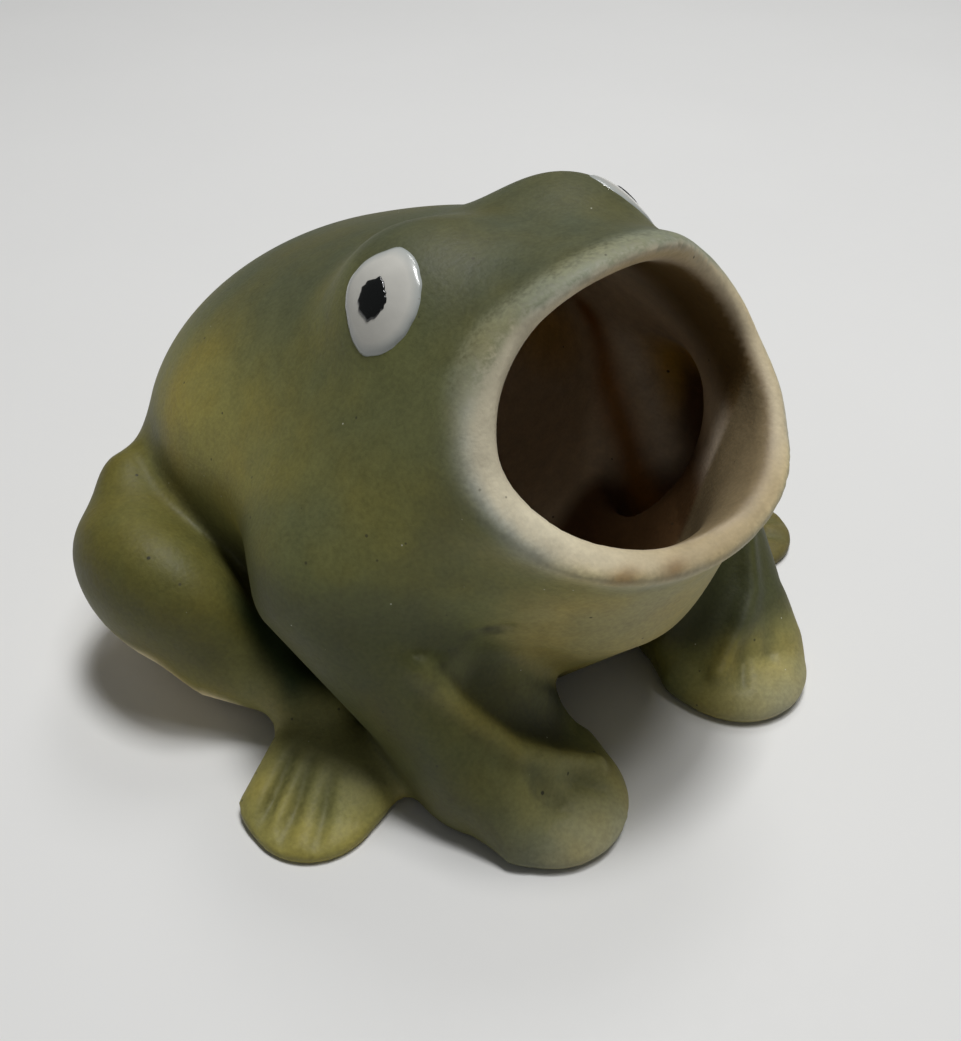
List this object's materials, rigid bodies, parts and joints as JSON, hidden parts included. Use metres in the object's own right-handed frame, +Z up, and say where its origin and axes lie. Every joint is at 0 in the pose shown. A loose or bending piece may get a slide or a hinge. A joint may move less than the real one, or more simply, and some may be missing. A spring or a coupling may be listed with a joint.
{
  "type": "frog figurine",
  "caption": "Hollow sitting frog of matte bisque with a wide open round mouth, glossy raised eyes and webbed feet, used as a kitchen pad or sponge holder.",
  "frame": {"origin": "On the floor, under the middle of the bounding box.", "axes": "The frog faces -Y, +X is its own left side, +Z is up."},
  "size_m": [0.1214, 0.1212, 0.0796],
  "materials": {
    "bisque": "matte airbrushed bisque",
    "eye_white": "glossy enamel",
    "pupil_black": "glossy enamel"
  },
  "bodies": {
    "root": {"body_shell": "bisque", "right_front_leg": "bisque", "left_front_leg": "bisque", "right_hind_leg": "bisque", "left_hind_leg": "bisque", "right_eye": "eye_white", "left_eye": "eye_white", "right_pupil": "pupil_black", "left_pupil": "pupil_black"}
  },
  "joints": []
}
